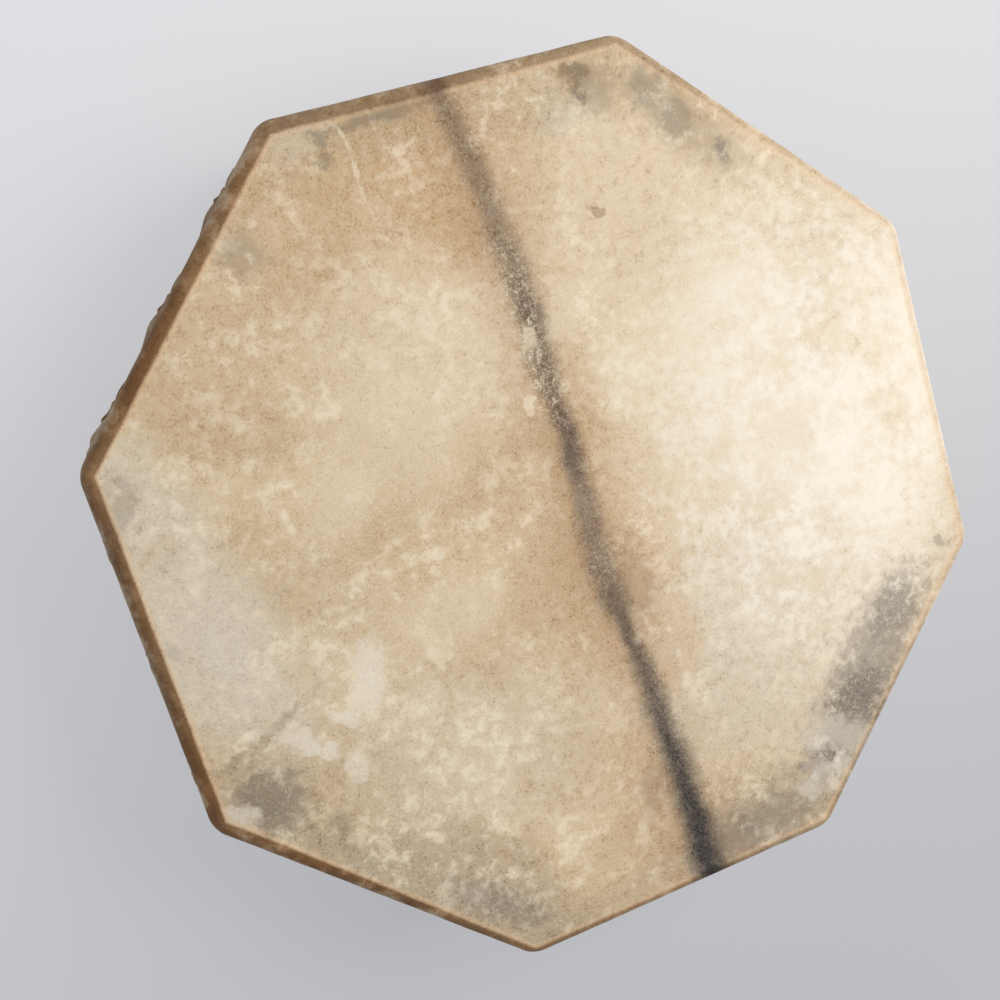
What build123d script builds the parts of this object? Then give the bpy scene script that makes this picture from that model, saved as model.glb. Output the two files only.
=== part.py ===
"""Octagonal ocean drum.

A frame of eight mitred wooden staves is closed at the front and the back by two rawhide heads. Both hides are
folded down over the rounded edges of the frame and laced to each other round the side, near the back. Loose
steel shot rolls on the inside of the lower head and makes the sound of surf.

Millimetres. The drum lies on its back head. +Z is its axis and points out of the front head, the origin is the
middle of the back head's outer face, and two pairs of flats are square to X and Y.
"""

import os
from math import cos, floor, radians, sin, sqrt, tan

from build123d import *

os.makedirs("parts", exist_ok=True)

# Wooden frame
SIDES = 8
frame_across_flats = 430.0
frame_depth = 76.0
stave_thickness = 15.0
frame_corner_radius = 12.0  # outer corners, sanded round
bearing_edge_radius = 5.0  # outer edges that the hides fold over
inner_edge_radius = 1.5

# Loose tongues glued across the mitres
spline_thickness = 4.0
spline_width = 14.0
spline_end_margin = 3.0  # from the end of a tongue to the end of its slot
spline_fit = 0.1

# Rawhide heads, shrunk on to the frame
hide_thickness = 1.2
hide_fit = 0.1
back_hug = 2.0  # how far the back hide lies on the side before it lifts for the lacing
flare_height = 5.0  # over which a hide lifts off the wood
hole_cover = 4.0  # lifted hide beyond the lace holes
lace_margin = 6.0  # from the lace holes to the hide's edge
lacing_gap = 7.0  # bare wood between the two hides

# Rawhide lacing
stitches_per_side = 3
stitch_slant = 12.0  # sideways lean of a stitch from its back hole to its front hole
lace_diameter = 2.4
lace_fit = 0.15
lace_hole_diameter = 3.4
hole_straight = 0.2  # straight lace inside a hole, between its two turns
knot_turns = 3
knot_core_diameter = 3.6

# Steel shot, in lanes across the back head
bead_diameter = 6.0
bead_clearance = 0.3
lane_count = 12
lane_pitch = 30.0
lane_fill = 0.45  # share of a lane that its beads spread over
bead_spacing = 8.5
SCATTER_STEP = 0.618  # turn between one bead's place across its lane and the next one's
LANE_PHASE = 0.37  # and between one lane's first bead and the next lane's

# Heights and widths that follow from the sizes above
TURN = 360 / SIDES
half_turn = radians(TURN / 2)
apothem = frame_across_flats / 2
inner_apothem = apothem - stave_thickness
frame_back = hide_thickness + hide_fit
frame_front = frame_back + frame_depth
lace_room = lace_diameter + 2 * lace_fit
lift = lace_room - hide_fit
back_edge = frame_back + bearing_edge_radius + back_hug + flare_height + hole_cover + lace_margin
front_edge = back_edge + lacing_gap
back_holes = back_edge - lace_margin
front_holes = front_edge + lace_margin
stitch_pitch = frame_across_flats * tan(half_turn) / stitches_per_side
stitch_places = [(place - (stitches_per_side - 1) / 2) * stitch_pitch for place in range(stitches_per_side)]
lace_inside = lace_diameter / 2 + lace_fit
lace_outside = lace_room + hide_thickness + lace_inside


def octagon(plane, flat_distance, corner_radius):
    """Octagon sketch on a plane, with its corners rounded."""
    with BuildSketch(plane) as outline:
        RegularPolygon(flat_distance, SIDES, major_radius=False, rotation=TURN / 2)
        fillet(outline.vertices(), corner_radius)
    return outline.sketch


def finish(piece, name):
    """Labels a finished piece and writes it."""
    piece.label = name
    export_step(piece, f"parts/{name}.step")


# Frame staves: one stave is a slice of the ring between two mitres, slotted at both ends for the tongues
spline_length = frame_depth - 2 * spline_end_margin
spline_radius = (apothem + inner_apothem) / 2 / cos(half_turn)
frame_plane = Plane.XY.offset(frame_back)
frame_middle = frame_back + frame_depth / 2


def frame_stave(side):
    """Stave whose outer face looks along the side's direction."""
    with BuildPart() as stave:
        extrude(octagon(frame_plane, apothem, frame_corner_radius), amount=frame_depth)
        ends = stave.faces().filter_by(Axis.Z)
        fillet(ends.edges(), bearing_edge_radius)
        with BuildSketch(frame_plane):
            RegularPolygon(inner_apothem, SIDES, major_radius=False, rotation=TURN / 2)
        extrude(amount=frame_depth, mode=Mode.SUBTRACT)
        with BuildSketch(frame_plane):
            far = frame_across_flats
            with BuildLine(Plane.XY.rotated((0, 0, TURN * side))):
                Polyline((0, 0), (far, -far * tan(half_turn)), (far, far * tan(half_turn)), close=True)
            make_face()
        extrude(amount=frame_depth, mode=Mode.INTERSECT)
        inside = stave.faces().filter_by(Plane.XY, reverse=True).sort_by_distance((0, 0, frame_middle))[0]
        fillet(inside.edges().filter_by(Axis.Z, reverse=True), inner_edge_radius)
        with PolarLocations(spline_radius, 2, start_angle=TURN * (side - 0.5), angular_range=TURN * 2):
            with Locations((0, 0, frame_middle)):
                Box(
                    spline_thickness + 2 * spline_fit,
                    spline_width + 2 * spline_fit,
                    frame_depth,
                    mode=Mode.SUBTRACT,
                )
    return stave.part


for side in range(SIDES):
    finish(frame_stave(side), f"frame_stave_{side + 1}")

# Corner splines: flat tongues, each buried half in one stave and half in the next
for corner in range(SIDES):
    with BuildPart() as corner_spline:
        with PolarLocations(spline_radius, 1, start_angle=TURN * (corner + 0.5)):
            with Locations((0, 0, frame_middle)):
                Box(spline_thickness, spline_width, spline_length)
    finish(corner_spline.part, f"corner_spline_{corner + 1}")


# Heads: a hide lies flat on the frame's end, folds over its edge, hugs the side and lifts for the lacing
def hide_blank(end_plane, distance, edge_depth):
    """Blank under one face of a hide, which lies the given distance off the wood."""
    tight_depth = edge_depth - lace_margin - hole_cover - flare_height
    loose_depth = tight_depth + flare_height
    tight = (apothem + distance, frame_corner_radius + distance)
    loose = (apothem + distance + lift, frame_corner_radius + distance + lift)
    with BuildPart() as blank:
        extrude(octagon(end_plane.offset(-distance), *tight), amount=distance + tight_depth)
        folded = blank.faces().sort_by(Axis(end_plane.origin, end_plane.z_dir))[0]
        fillet(folded.edges(), bearing_edge_radius + distance)
        hugging = octagon(end_plane.offset(tight_depth), *tight)
        lifted = octagon(end_plane.offset(loose_depth), *loose)
        loft([hugging.face(), lifted.face()])
        extrude(lifted, amount=edge_depth - loose_depth)
    return blank.part


def head(end_plane, edge_depth, hole_height, lean):
    """Head on one end of the frame, with its lace holes leaning one way from the stitches' middles."""
    outer = hide_blank(end_plane, hide_fit + hide_thickness, edge_depth)
    inner = hide_blank(end_plane, hide_fit, edge_depth)
    hide_middle = apothem + lace_room + hide_thickness / 2
    hole_places = [(hide_middle, along + lean, hole_height) for along in stitch_places]
    with BuildPart() as hide:
        add(outer)
        add(inner, mode=Mode.SUBTRACT)
        with PolarLocations(0, SIDES):
            with Locations(*hole_places):
                Cylinder(
                    lace_hole_diameter / 2,
                    hide_thickness + lace_room,
                    rotation=(0, 90, 0),
                    mode=Mode.SUBTRACT,
                )
    return hide.part


front_plane = Plane((0, 0, frame_front), x_dir=(1, 0, 0), z_dir=(0, 0, -1))
finish(head(frame_plane, back_edge - frame_back, back_holes, -stitch_slant / 2), "back_head")
finish(head(front_plane, frame_front - front_edge, front_holes, stitch_slant / 2), "front_head")


# Lacing: one lace whips the two hides together, leaning over the gap outside and running back inside
def on_side(side, along, out, height):
    """Point on a side of the drum, out from the wood."""
    angle = radians(TURN * side)
    reach = apothem + out
    return (
        reach * cos(angle) - along * sin(angle),
        reach * sin(angle) + along * cos(angle),
        height,
    )


lace_turn = (lace_outside - lace_inside - hole_straight) / 2
lace_corner = frame_corner_radius + lace_inside
middle_height = (back_holes + front_holes) / 2
corner_along = (apothem + lace_inside) * tan(half_turn)
run_along = stitch_pitch - stitch_slant
run_height = front_holes - back_holes
run_length = sqrt(run_along**2 + run_height**2)
knot_half = knot_turns * lace_diameter / 2
knot_share = (knot_half + lace_fit / 2) / run_length
knot_along = -stitch_pitch / 2

route = [on_side(0, knot_along + knot_share * run_along, lace_inside, middle_height - knot_share * run_height)]
bends = []
for stitch in range(1, SIDES * stitches_per_side + 1):
    side, place = divmod(stitch, stitches_per_side)
    back_place = stitch_places[place] - stitch_slant / 2
    front_place = stitch_places[place] + stitch_slant / 2
    route += [
        on_side(side, back_place, lace_inside, back_holes),
        on_side(side, back_place, lace_outside, back_holes),
        on_side(side, front_place, lace_outside, front_holes),
        on_side(side, front_place, lace_inside, front_holes),
    ]
    bends += [lace_turn] * 4
    if place == stitches_per_side - 1:
        route.append(on_side(side, corner_along, lace_inside, middle_height))
        bends.append(lace_corner)
route.append(
    on_side(0, knot_along - knot_share * run_along, lace_inside, middle_height + knot_share * run_height)
)

with BuildPart() as lacing:
    with BuildLine() as lace_line:
        FilletPolyline(*route, radius=bends)
    lace_path = lace_line.wire()
    with BuildSketch(Plane(lace_path @ 0, z_dir=lace_path % 0)) as lace_section:
        Circle(lace_diameter / 2)
    sweep(path=lace_path)
finish(lacing.part, "lacing")
swept = lacing.part.volume / (lace_section.sketch.area * lace_path.length)
print(f"lacing {lace_path.length:.0f} mm long, volume over section times length {swept:.4f}")

# Knot: the lace's two ends, bound together by turns of one round the other
knot_middle = Vector(*on_side(0, knot_along, lace_diameter + lace_fit, middle_height))
knot_plane = Plane(knot_middle, x_dir=(1, 0, 0), z_dir=(0, run_along, -run_height))
with BuildPart(knot_plane) as lace_knot:
    Cylinder(knot_core_diameter / 2, knot_turns * lace_diameter)
    for turn in range(knot_turns):
        with Locations((0, 0, (turn - (knot_turns - 1) / 2) * lace_diameter)):
            Torus(lace_diameter / 2, lace_diameter / 2)
finish(lace_knot.part, "lace_knot")

# Beads: each lane's shot lies on the back head about the middle of its lane, clear of the next lane's
bead_height = hide_thickness + bead_clearance + bead_diameter / 2
lane_scatter = (lane_pitch - bead_diameter - bead_clearance) / 2
bead_wall = inner_apothem - bead_diameter / 2 - bead_clearance
for lane in range(lane_count):
    lane_middle = (lane - (lane_count - 1) / 2) * lane_pitch
    lane_reach = min(bead_wall, bead_wall * sqrt(2) - abs(lane_middle) - lane_scatter)
    beads = 1 + floor(2 * lane_fill * lane_reach / bead_spacing)
    places = []
    for bead in range(beads):
        across = 2 * ((bead * SCATTER_STEP + lane * LANE_PHASE) % 1) - 1
        places.append(((bead - (beads - 1) / 2) * bead_spacing, lane_middle + across * lane_scatter, bead_height))
    with BuildPart() as bead_row:
        with Locations(*places):
            Sphere(bead_diameter / 2)
    finish(bead_row.part, f"bead_row_{lane + 1:02d}")
    travel = lane_reach - (beads - 1) / 2 * bead_spacing
    print(f"bead_row_{lane + 1:02d} {beads} beads, rolls {travel:.2f} mm each way")
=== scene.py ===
from math import atan2, cos, exp, hypot, pi, radians, sin, tan

import bpy
from mathutils import Matrix, Vector, noise


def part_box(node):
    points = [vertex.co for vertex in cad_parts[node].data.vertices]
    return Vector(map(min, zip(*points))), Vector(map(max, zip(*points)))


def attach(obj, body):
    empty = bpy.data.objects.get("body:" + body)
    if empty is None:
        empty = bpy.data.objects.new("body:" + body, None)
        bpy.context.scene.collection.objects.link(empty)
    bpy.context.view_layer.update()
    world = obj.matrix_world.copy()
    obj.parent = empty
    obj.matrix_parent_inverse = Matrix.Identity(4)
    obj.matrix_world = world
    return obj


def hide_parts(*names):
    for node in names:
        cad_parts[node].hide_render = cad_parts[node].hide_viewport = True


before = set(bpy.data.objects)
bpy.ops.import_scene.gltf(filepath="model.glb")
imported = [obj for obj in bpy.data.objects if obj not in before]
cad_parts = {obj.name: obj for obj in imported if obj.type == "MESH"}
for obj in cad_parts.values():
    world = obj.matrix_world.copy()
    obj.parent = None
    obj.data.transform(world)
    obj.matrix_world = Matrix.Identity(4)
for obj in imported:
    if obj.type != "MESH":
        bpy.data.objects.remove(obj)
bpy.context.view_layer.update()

# Frame staves: eight planed boards of pale ash, mitred and glued into an octagon, with sanded edges.
# They keep the frame's own solids. Of the wood only a thin band shows, between the edges of the two hides.


def painted(red, green, blue):
    """Colour as it shows, 0 to 255, as the light values that a shader mixes."""
    levels = [level / 255 for level in (red, green, blue)]
    return (*[v / 12.92 if v < 0.04045 else ((v + 0.055) / 1.055) ** 2.4 for v in levels], 1.0)


SIDES = 8
TURN = 2 * pi / SIDES
wood_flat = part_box("frame_stave_1")[1].x
grain_shift = 0.37
ash_pale = painted(220, 188, 142)
ash_dark = painted(170, 128, 84)
pore_brown = painted(112, 78, 48)


def node(tree, kind, sockets, **settings):
    """Adds a node with its settings, and links or sets its inputs."""
    made = tree.nodes.new("ShaderNode" + kind)
    for name, value in settings.items():
        setattr(made, name, value)
    for name, value in sockets.items():
        if isinstance(value, bpy.types.NodeSocket):
            tree.links.new(value, made.inputs[name])
        else:
            made.inputs[name].default_value = value
    return made


def sums(tree, operation, first, second=0.0, third=0.0):
    """Value of one step of arithmetic."""
    return node(tree, "Math", {0: first, 1: second, 2: third}, operation=operation).outputs[0]


def eased(tree, value, start, end):
    """Value that rises smoothly from 0 at start to 1 at end."""
    span = {"Value": value, "From Min": start, "From Max": end}
    return node(tree, "MapRange", span, interpolation_type="SMOOTHSTEP").outputs[0]


def blended(tree, share, under, over):
    """Colour of one tone laid over another."""
    return node(tree, "Mix", {0: share, 6: under, 7: over}, data_type="RGBA").outputs[2]


def washed(tree, ground, tone, strength, mask):
    """Ground with a wash of another tone, as strong as its mask."""
    return blended(tree, sums(tree, "MULTIPLY", mask, strength), ground, tone)


def node_group(name, inputs, outputs):
    """Empty node group with its named sockets, and the two ends that its nodes link to."""
    tree = bpy.data.node_groups.new(name, "ShaderNodeTree")
    for direction, sockets in (("INPUT", inputs), ("OUTPUT", outputs)):
        for socket, kind in sockets.items():
            tree.interface.new_socket(socket, in_out=direction, socket_type="NodeSocket" + kind)
    return tree, tree.nodes.new("NodeGroupInput").outputs, tree.nodes.new("NodeGroupOutput").inputs


def new_finish(name):
    """Material with its shader, and the place on the piece that its patterns follow."""
    material = bpy.data.materials.new(name)
    material.use_nodes = True
    tree = material.node_tree
    return material, tree, tree.nodes["Principled BSDF"], node(tree, "TexCoord", {}).outputs["Object"]


def dress(piece, material):
    """Gives a piece its material, in the only slot of its mesh."""
    piece.data.materials.clear()
    piece.data.materials.append(material)


wood_grain, grain_in, grain_out = node_group(
    "wood_grain", {"Vector": "Vector"}, {"Figure": "Float", "Fibre": "Float", "Pore": "Float"}
)
long_way = node(wood_grain, "Mapping", {"Vector": grain_in["Vector"], "Scale": (1, 0.07, 1)}).outputs[0]
figure_bands = {"Vector": long_way, "Scale": 90, "Distortion": 9, "Detail": 3}
figure = node(wood_grain, "TexWave", figure_bands, bands_direction="Z")
wood_grain.links.new(figure.outputs["Fac"], grain_out["Figure"])
fine_way = node(wood_grain, "Mapping", {"Vector": grain_in["Vector"], "Scale": (1, 0.02, 1)}).outputs[0]
fibre = node(wood_grain, "TexNoise", {"Vector": fine_way, "Scale": 1500, "Detail": 3})
wood_grain.links.new(fibre.outputs["Fac"], grain_out["Fibre"])
pores = node(wood_grain, "TexNoise", {"Vector": fine_way, "Scale": 700, "Detail": 1})
wood_grain.links.new(eased(wood_grain, pores.outputs["Fac"], 0.6, 0.7), grain_out["Pore"])


def wood_finish(name, turn, shift, pale, dark):
    """Oiled wood whose grain runs along Y once it is turned."""
    material, tree, shader, place = new_finish(name)
    way = node(tree, "Mapping", {"Vector": place, "Location": (shift, shift, 0), "Rotation": turn})
    grain = node(tree, "Group", {"Vector": way.outputs[0]}, node_tree=wood_grain).outputs
    tone = washed(tree, pale, dark, 0.7, grain["Figure"])
    tone = washed(tree, tone, dark, 0.5, grain["Fibre"])
    tone = washed(tree, tone, pore_brown, 0.7, grain["Pore"])
    tree.links.new(tone, shader.inputs["Base Color"])
    tree.links.new(sums(tree, "MULTIPLY_ADD", grain["Fibre"], 0.3, 0.4), shader.inputs["Roughness"])
    height = sums(tree, "SUBTRACT", grain["Fibre"], grain["Pore"])
    bump = node(tree, "Bump", {"Height": height, "Strength": 0.35, "Distance": 0.0002})
    tree.links.new(bump.outputs[0], shader.inputs["Normal"])
    return material


for side in range(SIDES):
    stave_turn = (0, 0, -TURN * side)
    stave_finish = wood_finish(f"ash_stave_{side + 1}", stave_turn, grain_shift * side, ash_pale, ash_dark)
    dress(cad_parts[f"frame_stave_{side + 1}"], stave_finish)

# Corner splines: thin tongues of darker beech, glued into slots across the mitres so that the corners hold.
# They keep the frame's own solids, buried in the wood, with their grain along the joint.
beech_pale = painted(206, 160, 112)
beech_dark = painted(166, 118, 76)
beech_finish = wood_finish("beech_spline", (pi / 2, 0, 0), 0, beech_pale, beech_dark)
for corner in range(SIDES):
    dress(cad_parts[f"corner_spline_{corner + 1}"], beech_finish)

# Back head: a plain calf rawhide 1.2 mm thick, soaked, folded over the back of the frame and dried tight.
# Its margin lifts off the wood at each stitch, where the lace is punched through and runs back underneath.
hide_thickness = 0.0012
hide_gap = 0.0001
hide_flat = wood_flat + hide_thickness + hide_gap
hide_corner_radius = 0.0133
half_side = hide_flat * tan(TURN / 2)
straight_half = (hide_flat - hide_corner_radius) * tan(TURN / 2)
back_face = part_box("back_head")[0].z
back_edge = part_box("back_head")[1].z

rim_radius = 0.0063
crest_flat = hide_flat - rim_radius
tight_rim_radius = 0.0024
round_way = Vector((cos(radians(150)), sin(radians(150)), 0))
round_from = -0.4 * hide_flat
round_to = 0.7 * hide_flat

stitch_pitch = 2 * wood_flat * tan(TURN / 2) / 3
stitch_places = (-stitch_pitch, 0.0, stitch_pitch)
stitch_lean = 0.006
hole_margin = 0.006
hole_radius = 0.0017

margin_lift = 0.0009
lace_lump = 0.0025
lace_lump_reach = 0.010
pucker_height = 0.0006
pucker_rays = 9
pucker_reach = 0.032
pleat_height = 0.0007
pleat_pitch = 0.0075
skin_wave = 0.00022
skin_wave_pitch = 0.05
wrinkle_height = 0.00030
loose_wrinkle_height = 0.00060
knobble_height = 0.00032
edge_draw = 0.0018
edge_slack = 0.0011
edge_ragged = 0.0008

hide_cream = painted(232, 215, 186)
hide_white = painted(250, 242, 226)
hide_tan = painted(207, 180, 143)
hide_amber = painted(202, 166, 122)
hide_olive = painted(184, 160, 124)
hide_ash = painted(216, 204, 184)
hide_dusk = painted(166, 150, 128)
hide_grey = painted(136, 131, 127)
hide_coal = painted(64, 60, 57)
hide_brown = painted(146, 112, 78)
hide_bone = painted(236, 226, 208)
crumb_tan = painted(222, 197, 160)
crumb_pale = painted(244, 230, 204)
crumb_brown = painted(164, 134, 98)
pepper_brown = painted(178, 132, 88)
fibre_pale = painted(255, 247, 230)
# Pale amber of the painted highlight along the crest of the rim.
crest_highlight_tone = painted(226, 190, 148)
side_rim_dark = painted(146, 116, 86)
side_rim_pale = painted(178, 147, 114)
side_edge_dark = painted(178, 164, 154)
side_edge_pale = painted(222, 212, 204)


def smooth(value, start, end):
    """Eases from 0 at start to 1 at end."""
    share = min(1.0, max(0.0, (value - start) / (end - start)))
    return share * share * (3 - 2 * share)


def on_side(side, along, out, height):
    """Point on a side of the drum, out from the wood."""
    turn = side * TURN
    reach = wood_flat + out
    return reach * cos(turn) - along * sin(turn), reach * sin(turn) + along * cos(turn), height


def side_place(x, y):
    """Place along the nearest side of the octagon, and the way out from it, turning round the corners."""
    side = round(atan2(y, x) / TURN)
    out = Vector((cos(side * TURN), sin(side * TURN), 0))
    along = y * out.x - x * out.y
    if abs(along) > straight_half:
        way = side + (0.5 if along > 0 else -0.5)
        centre = (hide_flat - hide_corner_radius) / cos(TURN / 2)
        out = Vector((x - centre * cos(way * TURN), y - centre * sin(way * TURN), 0)).normalized()
    return along, out


def hide_swell(along, edge_gap, lean):
    """How far the dried hide stands off its tight line: over the lace, and puckered at holes and corners."""
    loose = 1 - smooth(edge_gap, 0.008, 0.019)
    lumps = [(along - place - 1.9 * lean) / lace_lump_reach for place in stitch_places]
    swell = loose * (margin_lift + lace_lump * max(exp(-(lump**2)) for lump in lumps))
    for place in stitch_places:
        across = along - place - lean
        up = edge_gap - hole_margin
        reach = hypot(across, up)
        if up > 0 and reach < pucker_reach:
            fan = cos(pucker_rays * atan2(across, up)) * smooth(reach, 0.002, 0.006)
            swell += pucker_height * fan * (1 - smooth(reach, 0.012, pucker_reach))
    pleat = (abs(along) - half_side) / pleat_pitch
    return swell + pleat_height * loose * cos(2 * pi * pleat) * exp(-(pleat**2) / 3)


def rippled(x, y, z):
    """Noise from 0 to 1 at a place given in ripples."""
    return 0.5 + 0.5 * noise.noise(Vector((x, y, z)))


def dry_hide(hide, face, edge, lean):
    """Moves a stretched hide as it dries: wavy skin, a rim tighter on one side, and a wrinkled skirt."""
    inward = 1 if edge > face else -1
    for vertex in hide.data.vertices:
        x, y, z = vertex.co
        depth = inward * (z - face)
        edge_gap = inward * (edge - z)
        on_skirt = smooth(depth, 0, rim_radius)
        wave = rippled(x / skin_wave_pitch, y / skin_wave_pitch, face)
        vertex.co.z += inward * skin_wave * wave * (1 - on_skirt)
        if depth < 0.01 * rim_radius:
            continue
        along, out = side_place(x, y)
        if depth < 1.01 * rim_radius:
            up = max(0.0, 1 - depth / rim_radius)
            tight_share = 1 - smooth(round_way.dot(vertex.co), round_from, round_to)
            tightening = (rim_radius - tight_rim_radius) * tight_share
            vertex.co += out * tightening * (1 - (1 - up * up) ** 0.5)
            vertex.co.z -= inward * tightening * (1 - up)
        loose = 1 - smooth(edge_gap, 0.004, 0.026)
        wrinkle = rippled(x / 0.026, y / 0.026, z / 0.004)
        knobble = rippled(x / 0.010, y / 0.010, z / 0.006 + 9)
        swell = hide_swell(along, edge_gap, lean)
        swell += wrinkle * (wrinkle_height + loose_wrinkle_height * loose) + knobble * knobble_height
        vertex.co += out * swell * on_skirt
        holes = [(along - place - lean) / 0.009 for place in stitch_places]
        drawn = edge_draw * max(exp(-(hole**2)) for hole in holes)
        ragged = edge_ragged * noise.noise(Vector((x / 0.012, y / 0.012, 3.3)))
        vertex.co.z += inward * (drawn - edge_slack + ragged) * (1 - smooth(edge_gap, 0, 0.012))


def stretch_hide(name, face, edge, lean):
    """Hide drawn over one end of the frame: a flat skin, a rounded rim and a skirt down the side."""
    inward = 1 if edge > face else -1
    corner_steps = 8
    side_steps = 56
    rim_steps = 8
    skirt_step = 0.0015
    bpy.ops.object.select_all(action="DESELECT")
    bpy.ops.mesh.primitive_circle_add(vertices=SIDES, radius=crest_flat / cos(TURN / 2), fill_type="NGON")
    hide = bpy.context.object
    hide.name = name
    bpy.ops.object.mode_set(mode="EDIT")
    bpy.ops.transform.rotate(value=TURN / 2, orient_axis="Z", center_override=(0, 0, 0))
    bpy.ops.transform.translate(value=(0, 0, face))
    corner_cut = hide_corner_radius * crest_flat / hide_flat * tan(TURN / 2)
    bpy.ops.mesh.bevel(offset=corner_cut, offset_type="OFFSET", segments=corner_steps, affect="VERTICES")
    bpy.ops.mesh.delete(type="ONLY_FACE")
    bpy.ops.mesh.select_mode(type="EDGE")
    bpy.ops.mesh.select_all(action="DESELECT")
    bpy.ops.object.mode_set(mode="OBJECT")
    for straight in hide.data.edges:
        ends = [hide.data.vertices[index].co for index in straight.vertices]
        straight.select = (ends[0] - ends[1]).length > straight_half
    bpy.ops.object.mode_set(mode="EDIT")
    bpy.ops.mesh.subdivide(number_cuts=side_steps - 1)
    bpy.ops.mesh.select_all(action="SELECT")
    bpy.ops.mesh.fill_grid(span=(corner_steps + side_steps) * SIDES // 4)
    bpy.ops.mesh.select_all(action="SELECT")
    bpy.ops.mesh.region_to_loop()
    fold = [pi / 2 * (step + 1) / rim_steps for step in range(rim_steps)]
    rings = [(crest_flat + rim_radius * sin(turn), rim_radius * (1 - cos(turn))) for turn in fold]
    skirt = abs(edge - face) - rim_radius
    skirt_steps = round(skirt / skirt_step)
    rings += [(hide_flat, rim_radius + skirt * (step + 1) / skirt_steps) for step in range(skirt_steps)]
    flat, depth = crest_flat, 0.0
    for next_flat, next_depth in rings:
        drop = (0, 0, inward * (next_depth - depth))
        bpy.ops.mesh.extrude_edges_move(TRANSFORM_OT_translate={"value": drop})
        bpy.ops.transform.resize(value=(next_flat / flat, next_flat / flat, 1))
        flat, depth = next_flat, next_depth
    bpy.ops.mesh.select_all(action="SELECT")
    bpy.ops.mesh.normals_make_consistent(inside=False)
    bpy.ops.object.mode_set(mode="OBJECT")
    if sum(facet.normal.z for facet in hide.data.polygons) * inward > 0:
        hide.data.flip_normals()
    dry_hide(hide, face, edge, lean)
    return hide


def finish_hide(hide, hole_height, lean):
    """Gives a stretched hide its thickness, eases its cut edge and punches its lace holes."""
    thickness = hide.modifiers.new("thickness", "SOLIDIFY")
    thickness.thickness = hide_thickness
    thickness.offset = -1
    thickness.use_even_offset = True
    easing = hide.modifiers.new("easing", "BEVEL")
    easing.width = hide_thickness / 4
    easing.segments = 2
    easing.limit_method = "ANGLE"
    easing.angle_limit = radians(60)
    punch_out = 0.003
    punch_length = 0.014
    bpy.ops.object.select_all(action="DESELECT")
    punches = []
    for side in range(SIDES):
        for place in stitch_places:
            bpy.ops.mesh.primitive_cylinder_add(
                vertices=20,
                radius=hole_radius,
                depth=punch_length,
                location=on_side(side, place + lean, punch_out, hole_height),
                rotation=(0, pi / 2, side * TURN),
            )
            punches.append(bpy.context.object)
    for punch in punches:
        punch.select_set(True)
    bpy.ops.object.join()
    punch = bpy.context.object
    holes = hide.modifiers.new("holes", "BOOLEAN")
    holes.operation = "DIFFERENCE"
    holes.solver = "EXACT"
    holes.object = punch
    bpy.ops.object.select_all(action="DESELECT")
    bpy.context.view_layer.objects.active = hide
    hide.select_set(True)
    for step in ("thickness", "easing", "holes"):
        bpy.ops.object.modifier_apply(modifier=step)
    bpy.data.objects.remove(punch)
    bpy.ops.object.shade_smooth_by_angle(angle=radians(50))


def off_half(tree, level):
    """How far a noise level lies above or below its middle."""
    return sums(tree, "SUBTRACT", level, 0.5)


def along_way(tree, place, way):
    """How far a place lies along a way."""
    return node(tree, "VectorMath", {0: place, 1: way}, operation="DOT_PRODUCT").outputs["Value"]


def band(tree, value, rise, fall):
    """Value that rises from 0 to 1 over one span, and falls back to 0 over another."""
    return sums(tree, "MULTIPLY", eased(tree, value, *rise), eased(tree, value, *fall))


def tinted(tree, share, ground, tint):
    """Ground darkened by a tint."""
    layers = {0: share, 6: ground, 7: tint}
    return node(tree, "Mix", layers, data_type="RGBA", blend_type="MULTIPLY").outputs[2]


rawhide_grain, hide_in, hide_out = node_group(
    "rawhide_grain",
    {"Vector": "Vector"},
    {
        "Drift": "Vector",
        "Ripple": "Vector",
        "Cloud": "Float",
        "Mottle": "Float",
        "Crumb": "Float",
        "Fibre": "Float",
        "Speck": "Float",
        "Strand": "Float",
        "Streak": "Float",
        "Relief": "Float",
    },
)


def grain_noise(scale, detail, roughness=0.5, distortion=0.0):
    """Noise of one size over a hide."""
    sockets = {
        "Vector": hide_in["Vector"],
        "Scale": scale,
        "Detail": detail,
        "Roughness": roughness,
        "Distortion": distortion,
    }
    return node(rawhide_grain, "TexNoise", sockets).outputs


for output, scale, push in (("Drift", 20, 0.05), ("Ripple", 110, 0.009)):
    to_and_fro = {0: grain_noise(scale, 2)["Color"], 1: (0.5, 0.5, 0.5)}
    pushed = node(rawhide_grain, "VectorMath", to_and_fro, operation="SUBTRACT").outputs[0]
    pushed = node(rawhide_grain, "VectorMath", {0: pushed, "Scale": push}, operation="SCALE").outputs[0]
    pushed = node(rawhide_grain, "VectorMath", {0: pushed, 1: hide_in["Vector"]}, operation="ADD").outputs[0]
    rawhide_grain.links.new(pushed, hide_out[output])
cloud = eased(rawhide_grain, grain_noise(16, 3, 0.55, 0.4)["Fac"], 0.36, 0.64)
mottle = grain_noise(58, 6, 0.64)["Fac"]
crumb = grain_noise(165, 5, 0.62, 0.3)["Fac"]
hide_fibre = grain_noise(850, 2, 0.6, 0.8)["Fac"]
speck = sums(rawhide_grain, "MULTIPLY_ADD", crumb, 0.35, sums(rawhide_grain, "MULTIPLY", hide_fibre, 0.65))
strand_way = node(rawhide_grain, "Mapping", {"Vector": hide_in["Vector"], "Scale": (190, 75, 190)}).outputs[0]
strand_curls = {"Vector": strand_way, "Scale": 1, "Detail": 2, "Distortion": 1.2}
strand_line = off_half(rawhide_grain, node(rawhide_grain, "TexNoise", strand_curls).outputs["Fac"])
strand_line = eased(rawhide_grain, sums(rawhide_grain, "ABSOLUTE", strand_line), 0.040, 0.0)
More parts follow.
